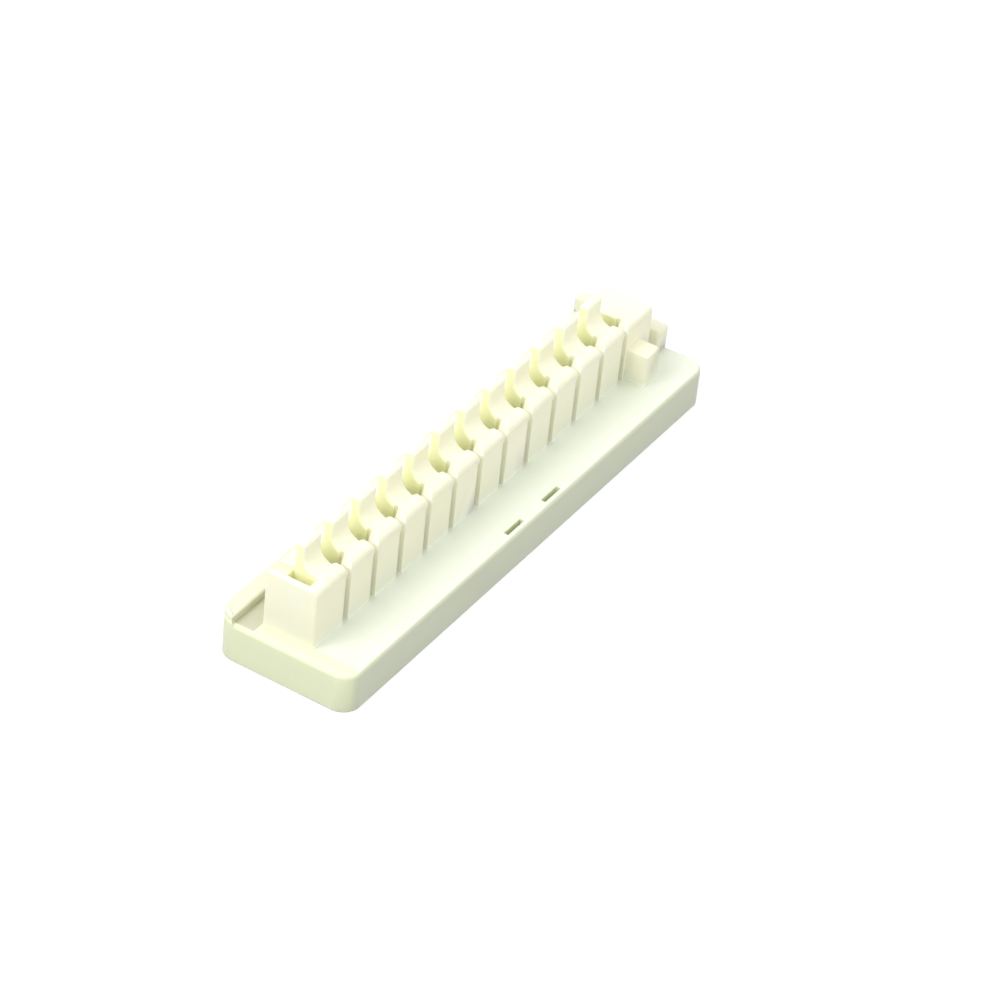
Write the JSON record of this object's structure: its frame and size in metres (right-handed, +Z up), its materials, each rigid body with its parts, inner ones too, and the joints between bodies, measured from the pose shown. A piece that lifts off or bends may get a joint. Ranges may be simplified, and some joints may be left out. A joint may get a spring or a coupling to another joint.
{
  "type": "insulation-displacement wiring connector",
  "caption": "Ivory cable connector: a comb of teeth with wire slots on a flat hollow base, forked contacts in the slots and pin sockets below.",
  "frame": {"origin": "centre of the base's rim, on the surface it stands on", "axes": "+X along the row of slots towards the key rib, -Y to the open front ledge, +Z up out of the slots"},
  "size_m": [0.0362, 0.0084, 0.008],
  "materials": {
    "ivory_plastic": "satin",
    "contact_metal": "tin-plated"
  },
  "bodies": {
    "root": {"housing": "ivory_plastic", "contact_01": "contact_metal", "contact_02": "contact_metal", "contact_03": "contact_metal", "contact_04": "contact_metal", "contact_05": "contact_metal", "contact_06": "contact_metal", "contact_07": "contact_metal", "contact_08": "contact_metal", "contact_09": "contact_metal", "contact_10": "contact_metal", "contact_11": "contact_metal", "contact_12": "contact_metal"}
  },
  "joints": []
}
